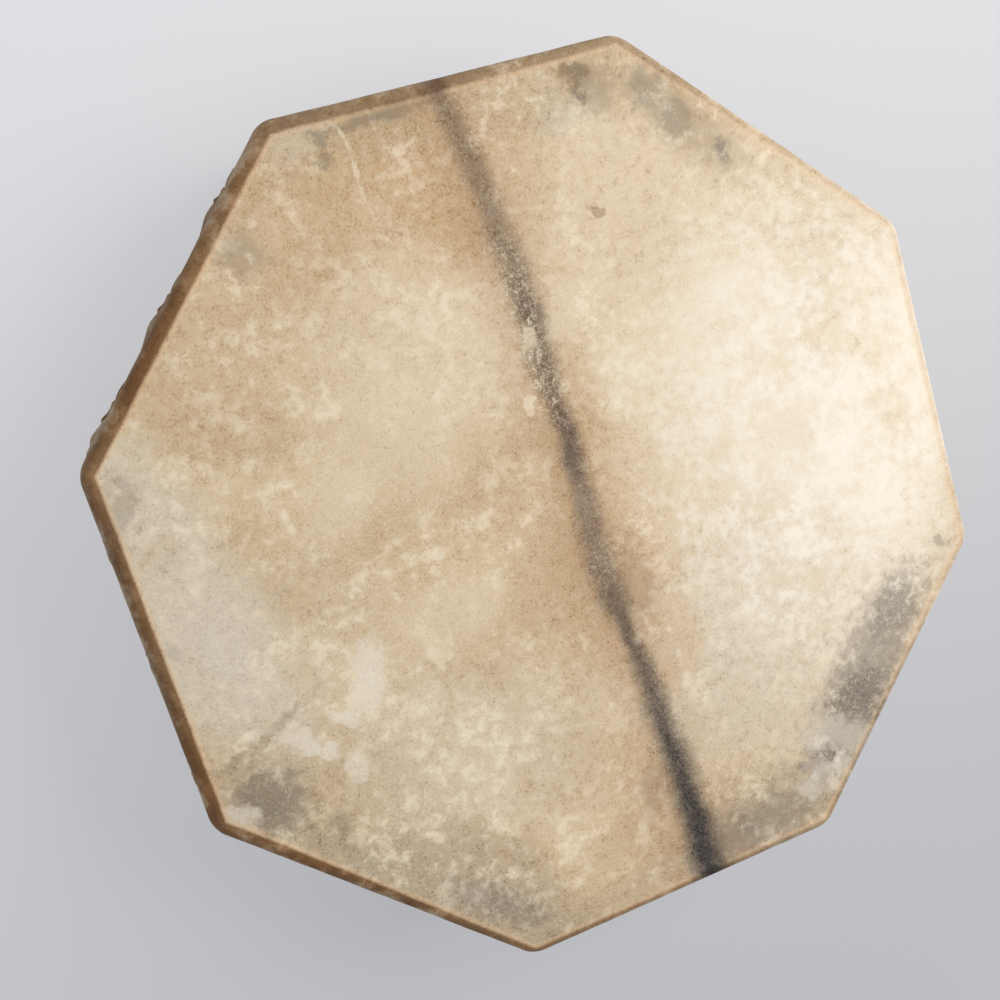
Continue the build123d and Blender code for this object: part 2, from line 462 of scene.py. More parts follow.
strand_line = sums(rawhide_grain, "MULTIPLY", strand_line, eased(rawhide_grain, crumb, 0.42, 0.56))
strand_clump = sums(rawhide_grain, "MULTIPLY", eased(rawhide_grain, speck, 0.52, 0.66), 0.9)
streak_way = node(rawhide_grain, "Mapping", {"Vector": hide_in["Vector"], "Scale": (30, 30, 230)}).outputs[0]
streak = node(rawhide_grain, "TexNoise", {"Vector": streak_way, "Scale": 1, "Detail": 4, "Roughness": 0.55})
grain_levels = {
    "Cloud": cloud,
    "Mottle": mottle,
    "Crumb": crumb,
    "Fibre": hide_fibre,
    "Speck": speck,
    "Strand": sums(rawhide_grain, "MAXIMUM", strand_line, strand_clump),
    "Streak": streak.outputs["Fac"],
    "Relief": sums(rawhide_grain, "MULTIPLY_ADD", crumb, 1.6, hide_fibre),
}
for output, level in grain_levels.items():
    rawhide_grain.links.new(level, hide_out[output])

hide_mark, mark_in, mark_out = node_group(
    "hide_mark",
    {
        "Vector": "Vector",
        "Crumb": "Float",
        "Middle": "Vector",
        "Along": "Vector",
        "Across": "Vector",
        "Ragged": "Float",
        "Soft": "Float",
        "Strength": "Float",
    },
    {"Mask": "Float"},
)
off_middle = {0: mark_in["Vector"], 1: mark_in["Middle"]}
off_middle = node(hide_mark, "VectorMath", off_middle, operation="SUBTRACT").outputs[0]
off_along = along_way(hide_mark, off_middle, mark_in["Along"])
off_across = along_way(hide_mark, off_middle, mark_in["Across"])
mark_edge = sums(hide_mark, "MULTIPLY", off_along, off_along)
mark_edge = sums(hide_mark, "MULTIPLY_ADD", off_across, off_across, mark_edge)
ragged_edge = off_half(hide_mark, mark_in["Crumb"])
mark_edge = sums(hide_mark, "MULTIPLY_ADD", ragged_edge, mark_in["Ragged"], mark_edge)
mark_span = {
    "Value": mark_edge,
    "From Min": sums(hide_mark, "MULTIPLY_ADD", mark_in["Soft"], 1.4, 1.0),
    "From Max": sums(hide_mark, "MULTIPLY_ADD", mark_in["Soft"], -1.0, 1.0),
    "To Max": mark_in["Strength"],
}
mark_level = node(hide_mark, "MapRange", mark_span, interpolation_type="SMOOTHSTEP")
hide_mark.links.new(mark_level.outputs[0], mark_out["Mask"])

hide_fold, fold_in, fold_out = node_group(
    "hide_fold",
    {"Vector": "Vector", "Mottle": "Float", "Face": "Float"},
    {"Crest": "Float", "Side": "Float", "Lower": "Float"},
)
fold_axes = node(hide_fold, "SeparateXYZ", {0: fold_in["Vector"]}).outputs
wobble = off_half(hide_fold, fold_in["Mottle"])
wide_x = sums(hide_fold, "ABSOLUTE", fold_axes["X"])
wide_y = sums(hide_fold, "ABSOLUTE", fold_axes["Y"])
wide_slant = sums(hide_fold, "MULTIPLY", sums(hide_fold, "ADD", wide_x, wide_y), cos(pi / 4))
fold_reach = sums(hide_fold, "MAXIMUM", sums(hide_fold, "MAXIMUM", wide_x, wide_y), wide_slant)
fold_reach = sums(hide_fold, "MULTIPLY_ADD", wobble, 0.0020, fold_reach)
tight_share = eased(hide_fold, along_way(hide_fold, fold_in["Vector"], round_way), round_to, round_from)
fold_reach = sums(hide_fold, "MULTIPLY_ADD", tight_share, tight_rim_radius - rim_radius, fold_reach)
off_crest = sums(hide_fold, "SUBTRACT", fold_reach, crest_flat)
# A thin band just inside the crest of the rim, where a painted highlight is laid.
hide_fold.links.new(band(hide_fold, off_crest, (-0.0036, -0.0022), (0.0004, -0.0014)), fold_out["Crest"])
# Painted shade: the side tint goes on in full at the left (-X) and at only 0.28 of that towards the right
# (+X), over the real brown of the folded hide.
painted_shade_span = {"Value": fold_axes["X"], "From Min": -0.16, "From Max": 0.18, "To Min": 1.0, "To Max": 0.28}
side_and_shade_share = node(hide_fold, "MapRange", painted_shade_span).outputs[0]
side_and_shade_share = sums(hide_fold, "MULTIPLY", side_and_shade_share, eased(hide_fold, off_crest, -0.0022, 0.0))
hide_fold.links.new(side_and_shade_share, fold_out["Side"])
below_face = sums(hide_fold, "ABSOLUTE", sums(hide_fold, "SUBTRACT", fold_axes["Z"], fold_in["Face"]))
below_face = sums(hide_fold, "MULTIPLY_ADD", wobble, 0.02, below_face)
hide_fold.links.new(eased(hide_fold, below_face, 0.0005, 0.007), fold_out["Lower"])


def mark_mask(tree, place, crumb_level, mark, ragged, soft):
    """Mask of one soft-edged mark: its strength, middle, reach along and across, and turn in degrees."""
    strength, middle, reach, turn = mark
    way = Vector((cos(radians(turn)), sin(radians(turn)), 0))
    sockets = {
        "Vector": place,
        "Crumb": crumb_level,
        "Middle": (*middle, 0),
        "Along": way / reach[0],
        "Across": Vector((-way.y, way.x, 0)) / reach[1],
        "Ragged": ragged,
        "Soft": soft,
        "Strength": strength,
    }
    return node(tree, "Group", sockets, node_tree=hide_mark).outputs["Mask"]


def with_washes(tree, grain, tone, washes):
    """Colour with wide soft washes of other tones, whose edges drift."""
    for wash, *mark in washes:
        mask = mark_mask(tree, grain["Drift"], grain["Mottle"], mark, ragged=4.5, soft=0.9)
        tone = blended(tree, mask, tone, wash)
    return tone


def with_stains(tree, grain, tone, stains):
    """Colour with stains of dark hair roots: each a haze, with dots that crowd towards its middle."""
    for stain, strength, *spot in stains:
        mask = mark_mask(tree, grain["Ripple"], grain["Crumb"], (1.0, *spot), ragged=4.0, soft=1.0)
        tone = washed(tree, tone, stain, 0.45 * strength, mask)
        crowd = sums(tree, "MULTIPLY_ADD", mask, 0.42, grain["Speck"])
        tone = washed(tree, tone, hide_coal, 0.75 * strength, eased(tree, crowd, 0.78, 1.0))
    return tone


def rawhide_ground(tree, grain, dark, pale):
    """Cloudy ground colour of a hide, with soft blotches."""
    tone = blended(tree, grain["Cloud"], dark, pale)
    tone = washed(tree, tone, hide_cream, 0.5, eased(tree, grain["Mottle"], 0.50, 0.64))
    return washed(tree, tone, hide_olive, 0.35, eased(tree, grain["Mottle"], 0.48, 0.34))


def scuffed(tree, grain, tone):
    """Colour with the pale crumbs and brown specks that the scraped grain of a hide leaves."""
    tone = washed(tree, tone, crumb_tan, 0.42, eased(tree, grain["Mottle"], 0.52, 0.32))
    clump = sums(tree, "MULTIPLY_ADD", grain["Mottle"], 0.8, grain["Crumb"])
    pale_share = sums(tree, "MULTIPLY_ADD", grain["Cloud"], 0.45, 0.25)
    dark_share = sums(tree, "MULTIPLY_ADD", grain["Cloud"], -0.20, 0.38)
    tone = washed(tree, tone, crumb_pale, pale_share, eased(tree, clump, 0.88, 1.14))
    return washed(tree, tone, crumb_brown, dark_share, eased(tree, clump, 0.88, 0.50))


def rawhide_surface(tree, shader, place, grain, tone, face):
    """Colours the folded side of a hide, with painted shade that deepens it towards the left and a painted
    highlight along the rim's crest, and gives the whole hide its fibres, gloss and relief.
    """
    sockets = {"Vector": place, "Mottle": grain["Mottle"], "Face": face}
    fold = node(tree, "Group", sockets, node_tree=hide_fold).outputs
    side_level = eased(tree, sums(tree, "ADD", grain["Streak"], grain["Mottle"]), 0.76, 1.24)
    near_rim = blended(tree, side_level, side_rim_dark, side_rim_pale)
    near_edge = blended(tree, side_level, side_edge_dark, side_edge_pale)
    side_tint = blended(tree, fold["Lower"], near_rim, near_edge)
    # Painted highlight: a pale amber line along the rim's crest, stronger where the hide is paler.
    crest_highlight_share = sums(tree, "MULTIPLY", eased(tree, tone, 0.08, 0.40), 0.35)
    # The folded side's tint is the real brown of the hide, deepened towards the left by painted shade.
    tone = tinted(tree, fold["Side"], tone, side_tint)
    tone = washed(tree, tone, crest_highlight_tone, crest_highlight_share, fold["Crest"])
    pepper_span = {"Value": tone, "From Min": 0.35, "From Max": 0.80, "To Min": 0.50, "To Max": 0.08}
    pepper = node(tree, "MapRange", pepper_span).outputs[0]
    pepper = sums(tree, "MULTIPLY", pepper, eased(tree, grain["Speck"], 0.47, 0.36))
    tone = tinted(tree, pepper, tone, pepper_brown)
    fibre_share = sums(tree, "MULTIPLY_ADD", fold["Side"], -0.20, 0.25)
    fibre_share = sums(tree, "MULTIPLY", fibre_share, eased(tree, tone, 0.0, 0.35))
    tone = washed(tree, tone, fibre_pale, fibre_share, eased(tree, grain["Fibre"], 0.50, 0.78))
    tree.links.new(tone, shader.inputs["Base Color"])
    roughness = node(tree, "MapRange", {"Value": grain["Mottle"], "To Min": 0.5, "To Max": 0.75}).outputs[0]
    tree.links.new(roughness, shader.inputs["Roughness"])
    shader.inputs["Specular IOR Level"].default_value = 0.3
    ridges = sums(tree, "MULTIPLY", sums(tree, "MULTIPLY", grain["Streak"], fold["Side"]), 4.0)
    height = sums(tree, "ADD", grain["Relief"], ridges)
    bump = node(tree, "Bump", {"Height": height, "Strength": 0.35, "Distance": 0.0003})
    tree.links.new(bump.outputs[0], shader.inputs["Normal"])


back_head = stretch_hide("back_hide", back_face, back_edge, -stitch_lean)
finish_hide(back_head, back_edge - hole_margin, -stitch_lean)
back_finish, tree, shader, place = new_finish("back_rawhide")
grain = node(tree, "Group", {"Vector": place}, node_tree=rawhide_grain).outputs
tone = rawhide_ground(tree, grain, hide_tan, hide_cream)
back_washes = (
    (hide_amber, 0.5, (-0.06, 0.05), (0.11, 0.08), 30),
    (hide_white, 0.6, (0.08, -0.07), (0.10, 0.07), -20),
    (hide_olive, 0.4, (0.11, 0.10), (0.07, 0.05), 40),
)
back_stains = (
    (hide_grey, 0.6, (-0.15, -0.09), (0.05, 0.03), 60),
    (hide_brown, 0.5, (0.02, 0.16), (0.06, 0.02), 10),
)
tone = with_washes(tree, grain, tone, back_washes)
tone = scuffed(tree, grain, tone)
tone = with_stains(tree, grain, tone, back_stains)
rawhide_surface(tree, shader, place, grain, tone, back_face)
dress(back_head, back_finish)
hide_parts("back_head")
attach(back_head, "drum")

# Steel shot: loose round beads, tumbled to a dull shine, that lie on the inside of the back head.
# They keep the frame's own solids, one row to a body, and roll across the drum when it is tilted.
shot_finish, tree, shader, place = new_finish("tumbled_steel")
haze = node(tree, "TexNoise", {"Vector": place, "Scale": 300, "Detail": 5}).outputs["Fac"]
scuff = node(tree, "TexNoise", {"Vector": place, "Scale": 1800, "Detail": 2}).outputs["Fac"]
steel_tone = blended(tree, haze, painted(150, 152, 156), painted(204, 206, 210))
tree.links.new(steel_tone, shader.inputs["Base Color"])
steel_gloss = node(tree, "MapRange", {"Value": haze, "To Min": 0.18, "To Max": 0.42}).outputs[0]
tree.links.new(steel_gloss, shader.inputs["Roughness"])
shader.inputs["Metallic"].default_value = 1.0
scuffs = node(tree, "Bump", {"Height": scuff, "Strength": 0.08, "Distance": 0.0001})
tree.links.new(scuffs.outputs[0], shader.inputs["Normal"])
for name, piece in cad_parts.items():
    if name.startswith("bead_row_"):
        dress(piece, shot_finish)

# Front head: a calf rawhide with its natural colouring and a dark stripe from along the animal's back.
# It is soaked, folded over the front of the frame and well down its side, and dried until it is drum tight.
front_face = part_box("front_head")[1].z
front_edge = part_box("front_head")[0].z
front_dark = painted(202, 176, 139)
front_pale = painted(222, 200, 166)
cloud_cream = painted(242, 228, 203)
cloud_white = painted(252, 247, 237)
stripe_glow_tone = painted(176, 138, 98)
stripe_upper = painted(100, 82, 70)
stripe_lower = painted(56, 53, 52)
wrinkle_brown = painted(160, 138, 106)
front_head = stretch_hide("front_hide", front_face, front_edge, stitch_lean)
finish_hide(front_head, front_edge + hole_margin, stitch_lean)

front_finish, tree, shader, place = new_finish("front_rawhide")
grain = node(tree, "Group", {"Vector": place}, node_tree=rawhide_grain).outputs
tone = rawhide_ground(tree, grain, front_dark, front_pale)
front_washes = (
    (hide_white, 0.40, (0.133, 0.006), (0.089, 0.100), -17),
    (hide_white, 0.75, (0.186, -0.010), (0.040, 0.085), -20),
    (hide_cream, 0.60, (0.111, 0.064), (0.034, 0.034), -16),
    (hide_cream, 0.55, (0.077, 0.097), (0.060, 0.059), -15),
    (hide_cream, 0.55, (0.075, 0.013), (0.051, 0.057), -18),
    (hide_ash, 0.75, (0.081, -0.102), (0.072, 0.060), -21),
    (hide_amber, 0.45, (-0.052, 0.171), (0.061, 0.045), 0),
    (hide_amber, 0.40, (-0.017, 0.157), (0.022, 0.043), 0),
    (hide_tan, 0.60, (-0.138, 0.133), (0.034, 0.050), -37),
    (hide_ash, 0.80, (-0.186, -0.032), (0.041, 0.030), -62),
    (hide_ash, 0.25, (-0.144, -0.014), (0.044, 0.032), 11),
    (hide_olive, 0.45, (-0.161, -0.095), (0.059, 0.030), -33),
    (hide_ash, 0.45, (-0.085, -0.096), (0.057, 0.044), -22),
    (hide_dusk, 0.60, (-0.108, -0.172), (0.074, 0.022), -44),
    (hide_amber, 0.40, (0.019, 0.015), (0.021, 0.056), -4),
    (hide_amber, 0.45, (0.020, -0.056), (0.025, 0.046), -6),
    (hide_tan, 0.40, (-0.070, 0.008), (0.065, 0.049), -19),
    (hide_tan, 0.45, (0.037, 0.181), (0.030, 0.023), -13),
    (hide_cream, 0.55, (0.069, 0.162), (0.031, 0.029), -14),
    (hide_ash, 0.75, (0.052, 0.195), (0.013, 0.013), -13),
    (hide_cream, 0.60, (-0.045, 0.102), (0.053, 0.038), -16),
    (hide_dusk, 0.50, (0.060, -0.195), (0.056, 0.024), 1),
    (hide_dusk, 0.40, (0.020, -0.210), (0.080, 0.014), 0),
    (hide_olive, 0.50, (0.000, 0.208), (0.090, 0.018), 0),
    (hide_ash, 0.45, (-0.072, 0.210), (0.023, 0.006), 4),
    (hide_dusk, 0.35, (0.149, -0.149), (0.085, 0.010), 45),
    (hide_dusk, 0.35, (-0.146, -0.146), (0.085, 0.010), -45),
)
tone = with_washes(tree, grain, tone, front_washes)
ash_mark = (0.75, (-0.196, 0.036), (0.078, 0.027), -79)
ash_side = mark_mask(tree, grain["Ripple"], grain["Mottle"], ash_mark, ragged=4.0, soft=0.6)
tone = blended(tree, ash_side, tone, hide_ash)
tone = scuffed(tree, grain, tone)
cloud_mark = (0.7, (0.142, 0.006), (0.090, 0.110), -17)
pale_side = mark_mask(tree, grain["Drift"], grain["Mottle"], cloud_mark, ragged=3.0, soft=0.9)
pale_cloud = sums(tree, "MULTIPLY_ADD", grain["Crumb"], 0.5, grain["Mottle"])
tone = washed(tree, tone, cloud_cream, 0.6, pale_side)
tone = washed(tree, tone, cloud_white, pale_side, eased(tree, pale_cloud, 0.66, 0.92))
front_stains = (
    (hide_grey, 0.75, (-0.188, -0.084), (0.021, 0.017), -43),
    (hide_grey, 0.35, (-0.204, 0.070), (0.008, 0.015), -19),
    (hide_grey, 0.35, (-0.117, 0.162), (0.011, 0.011), -15),
    (hide_grey, 0.55, (0.141, -0.134), (0.050, 0.020), 45),
    (hide_grey, 0.50, (0.162, -0.111), (0.024, 0.013), 40),
    (hide_grey, 0.80, (0.119, -0.162), (0.036, 0.018), 42),
    (hide_grey, 0.90, (0.104, -0.178), (0.022, 0.013), 30),
    (hide_grey, 0.45, (0.057, -0.197), (0.035, 0.015), 1),
    (hide_grey, 0.40, (0.034, -0.201), (0.015, 0.015), -24),
    (hide_dusk, 0.30, (0.114, 0.165), (0.040, 0.015), -47),
    (hide_grey, 0.40, (0.097, 0.189), (0.011, 0.010), -13),
    (hide_grey, 0.40, (0.107, 0.170), (0.009, 0.010), -13),
    (hide_grey, 0.65, (0.128, 0.150), (0.004, 0.006), -14),
    (hide_brown, 0.80, (0.062, 0.204), (0.008, 0.006), -13),
    (hide_brown, 0.80, (0.062, 0.193), (0.005, 0.005), -13),
    (hide_dusk, 0.35, (0.071, 0.194), (0.012, 0.014), -13),
    (hide_grey, 0.50, (-0.098, -0.181), (0.032, 0.009), -46),
    (hide_grey, 0.55, (0.199, -0.085), (0.0040, 0.0034), -19),
    (hide_olive, 0.70, (-0.067, 0.202), (0.005, 0.006), -14),
    (hide_olive, 0.70, (-0.068, 0.192), (0.004, 0.006), -14),
    (hide_grey, 0.35, (-0.205, -0.001), (0.006, 0.004), -21),
    (hide_grey, 0.30, (-0.159, -0.109), (0.006, 0.007), -23),
    (hide_dusk, 0.70, (-0.033, 0.206), (0.030, 0.004), 3),
    (hide_brown, 0.30, (0.017, -0.049), (0.013, 0.028), -5),
    (hide_grey, 0.35, (-0.003, -0.156), (0.007, 0.017), -13),
)
tone = with_stains(tree, grain, tone, front_stains)
mole_mark = (0.55, (0.056, 0.138), (0.0040, 0.0027), -48)
mole = mark_mask(tree, grain["Ripple"], grain["Mottle"], mole_mark, ragged=0.5, soft=0.4)
tone = blended(tree, mole, tone, hide_brown)


def drawn_curve(tree, value, points):
    """Value read off a smooth curve through a few points, given from low to high."""
    lows = points[0][0], min(level for _, level in points)
    highs = points[-1][0], max(level for _, level in points)
    share = node(tree, "MapRange", {"Value": value, "From Min": lows[0], "From Max": highs[0]}).outputs[0]
    curve = node(tree, "FloatCurve", {"Value": share})
    line = curve.mapping.curves[0]
    while len(line.points) < len(points):
        line.points.new(0.5, 0.5)
    for knot, (spot, level) in zip(line.points, points):
        knot.location = (spot - lows[0]) / (highs[0] - lows[0]), (level - lows[1]) / (highs[1] - lows[1])
    curve.mapping.update()
    span = {"Value": curve.outputs[0], "To Min": lows[1], "To Max": highs[1]}
    return node(tree, "MapRange", span).outputs[0]


axes = node(tree, "SeparateXYZ", {0: place}).outputs
crumbled = off_half(tree, grain["Crumb"])
wrinkle_line = ((-0.207, -0.0639), (-0.1826, -0.0566), (-0.1679, -0.0494), (-0.1418, -0.0386))
off_wrinkle = sums(tree, "SUBTRACT", axes["Y"], drawn_curve(tree, axes["X"], wrinkle_line))
off_wrinkle = sums(tree, "MULTIPLY_ADD", crumbled, 0.008, sums(tree, "ABSOLUTE", off_wrinkle))
wrinkle_ends = band(tree, axes["X"], (-0.211, -0.203), (-0.138, -0.165))
wrinkle_mask = sums(tree, "MULTIPLY", eased(tree, off_wrinkle, 0.0048, 0.0008), wrinkle_ends)
tone = washed(tree, tone, wrinkle_brown, 0.42, wrinkle_mask)

# The stripe's middle line, half width and darkness, each against the height Y on the face.
stripe_line = (
    (-0.2145, 0.0173), (-0.1972, 0.0156), (-0.1700, 0.0156), (-0.1397, 0.0143), (-0.1099, 0.0125),
    (-0.0863, 0.0108), (-0.0625, 0.0075), (-0.0286, 0.0053), (0.0009, 0.0059), (0.0295, 0.0075),
    (0.0534, 0.0065), (0.0715, 0.0062), (0.0942, 0.0066), (0.1083, 0.0060), (0.1257, 0.0052),
    (0.1394, 0.0033), (0.1566, 0.0020), (0.1763, -0.0004), (0.1985, -0.0050), (0.2145, -0.0068),
)
stripe_half_width = (
    (-0.2145, 0.0112), (-0.170, 0.0100), (-0.140, 0.0092), (-0.110, 0.0076), (-0.086, 0.0062),
    (-0.062, 0.0070), (-0.029, 0.0086), (0.001, 0.0070), (0.030, 0.0068), (0.070, 0.0074), (0.108, 0.0074),
    (0.140, 0.0076), (0.176, 0.0072), (0.2145, 0.0064),
)
stripe_darkness = (
    (-0.2145, 1.00), (-0.170, 0.97), (-0.140, 0.93), (-0.110, 0.81), (-0.086, 0.78), (-0.062, 0.80),
    (-0.029, 0.74), (0.001, 0.72), (0.030, 0.95), (0.053, 0.80), (0.072, 0.78), (0.094, 0.86), (0.108, 0.78),
    (0.126, 0.66), (0.157, 0.62), (0.176, 0.64), (0.2145, 0.60),
)
off_line = sums(tree, "SUBTRACT", axes["X"], drawn_curve(tree, axes["Y"], stripe_line))
off_line = sums(tree, "MULTIPLY_ADD", off_half(tree, grain["Mottle"]), 0.012, off_line)
stripe_width = drawn_curve(tree, axes["Y"], stripe_half_width)
stripe_share = sums(tree, "DIVIDE", sums(tree, "ABSOLUTE", off_line), stripe_width)
stripe_glow = sums(tree, "MULTIPLY_ADD", eased(tree, off_line, 0.012, -0.012), 0.22, 0.28)
stripe_glow = sums(tree, "MULTIPLY", eased(tree, stripe_share, 4.6, 0.6), stripe_glow)
tone = blended(tree, stripe_glow, tone, stripe_glow_tone)
stripe_tone = blended(tree, eased(tree, axes["Y"], 0.02, -0.12), stripe_upper, stripe_lower)
hair_span = {"Value": grain["Speck"], "From Min": 0.36, "From Max": 0.64, "To Min": 1.08, "To Max": 0.86}
hair_gain = node(tree, "MapRange", hair_span).outputs[0]
stripe_level = drawn_curve(tree, axes["Y"], stripe_darkness)
stripe_cover = sums(tree, "MULTIPLY", eased(tree, stripe_share, 1.55, 0.10), stripe_level)
stripe_cover = sums(tree, "MINIMUM", sums(tree, "MULTIPLY", stripe_cover, hair_gain), 1.0)
tone = blended(tree, stripe_cover, tone, stripe_tone)

front_flecks = (
    (hide_bone, 0.70, (-0.125, -0.046), (0.007, 0.018), -21),
    (hide_bone, 0.70, (-0.140, -0.060), (0.007, 0.003), -37),
    (hide_bone, 0.70, (-0.163, -0.063), (0.009, 0.005), -37),
    (hide_bone, 0.70, (-0.152, -0.072), (0.004, 0.004), -22),
    (hide_bone, 0.60, (-0.143, -0.084), (0.004, 0.008), -22),
    (hide_cream, 0.50, (-0.077, 0.057), (0.029, 0.026), -18),
    (hide_cream, 0.50, (-0.074, -0.028), (0.025, 0.014), 0),
    (hide_cream, 0.55, (-0.110, 0.042), (0.014, 0.016), -19),
    (hide_bone, 0.48, (0.109, -0.170), (0.016, 0.010), -22),
    (hide_bone, 0.48, (0.096, -0.184), (0.008, 0.006), -22),
    (hide_bone, 0.48, (0.106, -0.186), (0.006, 0.006), -22),
    (hide_bone, 0.48, (0.085, -0.191), (0.007, 0.006), -23),
    (hide_bone, 0.48, (0.099, -0.194), (0.004, 0.003), -23),
    (hide_bone, 0.48, (0.097, -0.169), (0.005, 0.003), -22),
    (hide_ash, 0.85, (-0.203, -0.086), (0.008, 0.005), -23),
    (hide_cream, 0.50, (0.023, 0.096), (0.007, 0.011), -16),
    (hide_cream, 0.75, (0.003, 0.087), (0.0035, 0.0060), -16),
    (hide_cream, 0.95, (-0.007, 0.058), (0.0026, 0.0030), -17),
    (hide_white, 0.30, (0.110, 0.062), (0.028, 0.028), -16),
    (hide_white, 0.40, (0.131, -0.004), (0.036, 0.027), -18),
    (hide_ash, 0.50, (-0.185, -0.001), (0.018, 0.028), -52),
    (hide_cream, 0.50, (-0.014, -0.178), (0.004, 0.007), -24),
    (hide_dusk, 0.36, (0.006, 0.002), (0.004, 0.010), -8),
    (hide_dusk, 0.36, (0.008, -0.030), (0.005, 0.012), -5),
)
for fleck, *mark in front_flecks:
    mask = mark_mask(tree, grain["Ripple"], grain["Crumb"], mark, ragged=8.0, soft=0.9)
    tone = blended(tree, mask, tone, fleck)
front_hairs = (
    (0.60, (0.003, 0.114), (0.024, 0.008), -86),
    (0.70, (0.004, 0.071), (0.026, 0.009), -88),
    (0.25, (0.008, -0.029), (0.010, 0.014), -5),
    (0.50, (0.052, -0.168), (0.018, 0.020), -23),
    (0.40, (-0.099, -0.182), (0.025, 0.009), -44),
    (0.60, (-0.046, 0.152), (0.006, 0.012), 14),
)
for mark in front_hairs:
    mask = mark_mask(tree, grain["Ripple"], grain["Crumb"], mark, ragged=2.0, soft=0.9)
    tone = washed(tree, tone, hide_cream, mask, grain["Strand"])
scratch_line = ((0.1475, -0.0451), (0.1711, -0.0545), (0.1989, -0.0550), (0.2078, -0.0601))
off_scratch = sums(tree, "SUBTRACT", axes["X"], drawn_curve(tree, axes["Y"], scratch_line))
off_scratch = sums(tree, "MULTIPLY_ADD", crumbled, 0.009, sums(tree, "ABSOLUTE", off_scratch))
scratch_ends = band(tree, axes["Y"], (0.150, 0.180), (0.2095, 0.207))
scratch_mask = sums(tree, "MULTIPLY", eased(tree, off_scratch, 0.0011, -0.0002), scratch_ends)
tone = washed(tree, tone, hide_cream, 0.75, scratch_mask)
rawhide_surface(tree, shader, place, grain, tone, front_face)
dress(front_head, front_finish)
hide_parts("front_head")
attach(front_head, "drum")

# Lacing: one long strip of the same rawhide, cut thin, threaded wet and dried hard, that joins the hides.
# It leans over the gap from a back hole to a front hole, and runs on to the next stitch under the hides.
lace_width = 0.0034
lace_thickness = 0.0015
lace_under = 0.0009
lace_over = 0.0056
lace_sag = 0.0016
back_holes = back_edge - hole_margin
front_holes = front_edge + hole_margin
lace_middle = (back_holes + front_holes) / 2
stitch_count = SIDES * len(stitch_places)
corner_along = (wood_flat + lace_under) * tan(TURN / 2)
corner_ease = 0.0029
lace_dark = painted(150, 112, 74)
lace_pale = painted(202, 168, 126)
lace_brown = painted(120, 88, 56)


def lace_profile(name, width, thickness):
    """Cross-section of a lace: a flat strip with rolled edges."""
    bpy.ops.object.select_all(action="DESELECT")
    bpy.ops.curve.primitive_bezier_circle_add(radius=0.5)
    profile = bpy.context.object
    profile.name = name
    profile.scale = (thickness, width, 1)
    bpy.ops.object.transform_apply(location=False, rotation=False, scale=True)
    profile.data.resolution_u = 4
    return profile


def lace_mesh(name, route, profile):
    """Lace swept along a route, as a mesh with closed ends."""
    line = bpy.data.curves.new(name, "CURVE")
    line.dimensions = "3D"
    line.twist_mode = "Z_UP"
    line.resolution_u = 6
    line.bevel_mode = "OBJECT"
    line.bevel_object = profile
    line.use_fill_caps = True
    spline = line.splines.new("NURBS")
    spline.points.add(len(route) - 1)
    for index, point in enumerate(route):
        spline.points[index].co = (*point, 1)
        spline.points[index].radius = 1 + 0.16 * noise.noise(Vector(point) / 0.011)
        spline.points[index].tilt = 0.25 * noise.noise(Vector(point) / 0.02)
    spline.order_u = 3
    spline.use_endpoint_u = True
    lace = bpy.data.objects.new(name, line)
    bpy.context.scene.collection.objects.link(lace)
    bpy.ops.object.select_all(action="DESELECT")
    lace.select_set(True)
    bpy.context.view_layer.objects.active = lace
    bpy.ops.object.convert(target="MESH")
    bpy.ops.object.shade_smooth_by_angle(angle=radians(60))
    return lace


knot_along = -stitch_pitch / 2
lace_route = [on_side(0, knot_along, lace_under, lace_middle)]
for stitch in range(1, stitch_count + 1):
    side, which = divmod(stitch, len(stitch_places))
    middle_place = stitch_places[which]
    lace_route += [
        on_side(side, middle_place - stitch_lean, lace_under, back_holes),
        on_side(side, middle_place - stitch_lean, lace_over, back_holes),
        on_side(side, middle_place, lace_over - lace_sag, lace_middle),
        on_side(side, middle_place + stitch_lean, lace_over, front_holes),
        on_side(side, middle_place + stitch_lean, lace_under, front_holes),
    ]
    if which == len(stitch_places) - 1:
        lace_route.append(on_side(side, corner_along - corner_ease, lace_under, lace_middle))
        lace_route.append(on_side(side + 1, corner_ease - corner_along, lace_under, lace_middle))
lace_route.append(on_side(0, knot_along, lace_under, lace_middle))
lace_section = lace_profile("lace_section", lace_width, lace_thickness)
lacing = lace_mesh("lace", lace_route, lace_section)

lace_finish, tree, shader, place = new_finish("lace_rawhide")
lace_patches = {"Vector": place, "Scale": 120, "Detail": 6, "Roughness": 0.65}
lace_cloud = node(tree, "TexNoise", lace_patches).outputs["Fac"]
lace_fibre = node(tree, "TexNoise", {"Vector": place, "Scale": 1400, "Detail": 3}).outputs["Fac"]
lace_tone = blended(tree, eased(tree, lace_cloud, 0.3, 0.7), lace_dark, lace_pale)
lace_tone = washed(tree, lace_tone, lace_brown, 0.35, lace_fibre)
tree.links.new(lace_tone, shader.inputs["Base Color"])
lace_gloss = node(tree, "MapRange", {"Value": lace_cloud, "To Min": 0.35, "To Max": 0.65}).outputs[0]
tree.links.new(lace_gloss, shader.inputs["Roughness"])
lace_bump = node(tree, "Bump", {"Height": lace_fibre, "Strength": 0.4, "Distance": 0.0002})
tree.links.new(lace_bump.outputs[0], shader.inputs["Normal"])
dress(lacing, lace_finish)
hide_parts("lacing")
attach(lacing, "drum")

